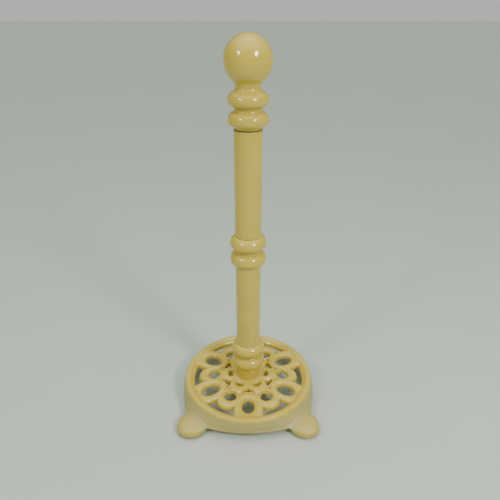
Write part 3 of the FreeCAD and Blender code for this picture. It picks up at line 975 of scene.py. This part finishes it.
class TOWEL_OT_finial(bpy.types.Operator):
    """Turns the ball, its neck and its double bead, hollow over the nut below"""

    bl_idname = "towel.finial"
    bl_label = "Finial"

    def execute(self, context):
        post = context.scene.towel_post
        low, top = FINIAL_LOW[2], FINIAL_HIGH[2]
        foot = TUBE_R - 0.4 * MM
        beads = low + 1.8 * MM
        lower, upper = 11.6 * MM, 11.1 * MM
        bead_top = beads + lower + post.bead_gap + upper
        neck = bead_top + 3.0 * MM
        neck_r = TUBE_R - 1.7 * MM
        ball = top - BALL_R
        blend = ball - 0.72 * BALL_R
        blend_r = math.sqrt(BALL_R ** 2 - (ball - blend) ** 2)
        recess_r, recess_top = TUBE_R - post.tube_wall + 1.6 * MM, low + 7.0 * MM
        thread_r, thread_top = ROD_R + 0.05 * MM, ROD_HIGH[2] + 3.5 * MM
        turned_piece(context, "finial", "finial", [
            (0.0, thread_top),
            (thread_r, thread_top - thread_r),
            (thread_r, recess_top),
            (recess_r, recess_top),
            (recess_r, low),
            (foot, low),
            (foot, low + 0.9 * MM),
            (TUBE_R, beads),
            *double_bead(post, beads, lower, upper),
            (neck_r + 0.5 * MM, (bead_top + neck) / 2, neck_r, neck),
            (neck_r + 0.5 * MM, (neck + blend) / 2, blend_r, blend),
            (BALL_R, ball, 0.0, top),
        ])
        return {"FINISHED"}


class TOWEL_OT_foot_pads(bpy.types.Operator):
    """Moulds the rubber pads in the feet"""

    bl_idname = "towel.foot_pads"
    bl_label = "Foot pads"

    def execute(self, context):
        rubber = material_of(moulded_rubber)
        bevel = 0.6 * MM
        steps = [(0.0, PAD_HIGH[2]), (PAD_R, PAD_HIGH[2]), (PAD_R, PAD_LOW[2] + bevel),
                 (PAD_R - bevel, PAD_LOW[2]), (0.0, PAD_LOW[2])]
        pad = turned_mesh("one_pad", steps, context.scene.towel_post, rubber)
        mesh = run_tree(TREES["row"], pad, {
            "Circle radius": FOOT_CIRCLE_R,
            **dict(zip(ANGLES, FEET)),
            "Finish": rubber,
        }, "foot_pads_looks")
        piece("foot_pads_looks", mesh, rubber, "stand", "pad_rubber",
              "foot_pad_1", "foot_pad_2", "foot_pad_3")
        return {"FINISHED"}


class TOWEL_OT_fasteners(bpy.types.Operator):
    """Finishes the rod, nuts and washers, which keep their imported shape"""

    bl_idname = "towel.fasteners"
    bl_label = "Fasteners"

    def execute(self, context):
        finishes = {
            # the finial washer's dark olive stands as painted shade in the seam under the finial's bead
            vulcanised_fibre: ("finial_washer",),
            zinc_steel: ("tie_rod", "cap_washer", "cap_nut", "base_washer", "lock_washer", "base_nut"),
        }
        for build, nodes in finishes.items():
            material = material_of(build)
            for node in nodes:
                coat(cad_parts[node].data, material)
        return {"FINISHED"}


# each soft lamp: its name, the way to it from the ball, its size against the stage's and its roll
LAMPS = (
    ("left", (-0.645, -0.565, 0.512), 0.85, math.radians(-35)),
    ("right", (0.600, -0.670, 0.480), 1.45, math.radians(45)),
)
LAMP_SLIMNESS = 0.45         # shorter edge against longer edge

CAMERA_PLACE = (0, -0.371, 0.3641)
CAMERA_TILT = math.radians(60.92)
SENSOR, FOCAL_LENGTH = 36, 32.4
SHIFT_X, SHIFT_Y = 0.0036, 0.0288
NEAREST, FARTHEST = 0.01, 50


class TOWEL_OT_stage(bpy.types.Operator):
    """Sets the floor, the light tent, the two soft lamps and the camera"""

    bl_idname = "towel.stage"
    bl_label = "Stage"

    def execute(self, context):
        stage = context.scene.towel_stage
        self.lay_floor(stage)
        context.scene.world = self.light_tent(stage)
        target = Vector((0, 0, FINIAL_HIGH[2] - BALL_R))
        for name, way, scale, roll in LAMPS:
            lamp = bpy.data.lights.new(name + "_softbox", "AREA")
            lamp.energy = getattr(stage, name + "_power")
            lamp.shape = "RECTANGLE"
            lamp.size = stage.lamp_size * scale
            lamp.size_y = stage.lamp_size * scale * LAMP_SLIMNESS
            holder = bpy.data.objects.new(name + "_softbox", lamp)
            holder.location = target + Vector(way).normalized() * stage.lamp_distance
            aim = Vector(way).to_track_quat("Z", "Y") @ Quaternion((0, 0, 1), roll)
            holder.rotation_euler = aim.to_euler()
            context.scene.collection.objects.link(holder)
        self.set_camera(context.scene)
        return {"FINISHED"}

    def lay_floor(self, stage):
        """The pale floor."""
        half = stage.floor_size / 2
        mesh = bpy.data.meshes.new("floor")
        mesh.from_pydata([(-half, -half, 0), (half, -half, 0), (half, half, 0), (-half, half, 0)], [],
                         [(0, 1, 2, 3)])
        coat(mesh, material_of(painted_board))
        new_object("floor", mesh)

    def light_tent(self, stage):
        """A world that glows from overhead, which the camera sees as a plain backdrop."""
        world = bpy.data.worlds.new("light_tent")
        world.use_nodes = True
        tree = world.node_tree
        direction = add(tree, "ShaderNodeTexCoord").outputs["Generated"]
        height = add(tree, "ShaderNodeSeparateXYZ", {0: direction}).outputs["Z"]
        steep = add(tree, "ShaderNodeMath", {0: height, 1: stage.tent_gather}, operation="POWER")
        glow = add(tree, "ShaderNodeMapRange", {
            "Value": steep, "To Min": stage.horizon_strength, "To Max": stage.tent_strength})
        seen = add(tree, "ShaderNodeLightPath").outputs["Is Camera Ray"]
        brightness = add(tree, "ShaderNodeMapRange", {
            "Value": seen, "To Min": glow, "To Max": stage.backdrop_strength})
        join(tree, tree.nodes["Background"], {"Color": (*stage.tent_colour, 1), "Strength": brightness})
        return world

    def set_camera(self, scene):
        """The camera, in front of the holder and just above its ball, looking down."""
        lens = bpy.data.cameras.new("camera")
        lens.sensor_width = SENSOR
        lens.lens = FOCAL_LENGTH
        lens.shift_x = SHIFT_X
        lens.shift_y = SHIFT_Y
        lens.clip_start = NEAREST
        lens.clip_end = FARTHEST
        camera = bpy.data.objects.new("camera", lens)
        camera.location = CAMERA_PLACE
        camera.rotation_euler = (CAMERA_TILT, 0, 0)
        scene.collection.objects.link(camera)
        scene.camera = camera


OPERATORS = (
    TOWEL_OT_base_casting,
    TOWEL_OT_collars,
    TOWEL_OT_tubes,
    TOWEL_OT_finial,
    TOWEL_OT_foot_pads,
    TOWEL_OT_fasteners,
    TOWEL_OT_stage,
)


class TOWEL_PT_panel(bpy.types.Panel):
    """The towel holder's settings and buttons"""

    bl_idname = "TOWEL_PT_panel"
    bl_label = "Towel Holder"
    bl_space_type = "VIEW_3D"
    bl_region_type = "UI"
    bl_category = "Towel Holder"

    def draw(self, context):
        for operator in OPERATORS:
            self.layout.operator(operator.bl_idname)
        for name in SETTINGS:
            group = getattr(context.scene, name)
            box = self.layout.box()
            for prop in group.bl_rna.properties:
                if prop.identifier not in ("rna_type", "name"):
                    box.prop(group, prop.identifier)


CLASSES = (*SETTINGS.values(), *OPERATORS, TOWEL_PT_panel)


def register():
    """Registers the classes and hangs the settings on the scene."""
    for kind in CLASSES:
        bpy.utils.register_class(kind)
    for name, group in SETTINGS.items():
        setattr(bpy.types.Scene, name, bpy.props.PointerProperty(type=group))


def unregister():
    """Takes the settings and the classes away again."""
    for name in SETTINGS:
        delattr(bpy.types.Scene, name)
    for kind in reversed(CLASSES):
        bpy.utils.unregister_class(kind)


def main():
    """Builds everything in order."""
    register()
    TREES["turn"] = turning_tree()
    TREES["row"] = row_tree()
    bpy.ops.towel.base_casting()
    bpy.ops.towel.collars()
    bpy.ops.towel.tubes()
    bpy.ops.towel.finial()
    bpy.ops.towel.foot_pads()
    bpy.ops.towel.fasteners()
    bpy.ops.towel.stage()


if __name__ == "__main__":
    main()
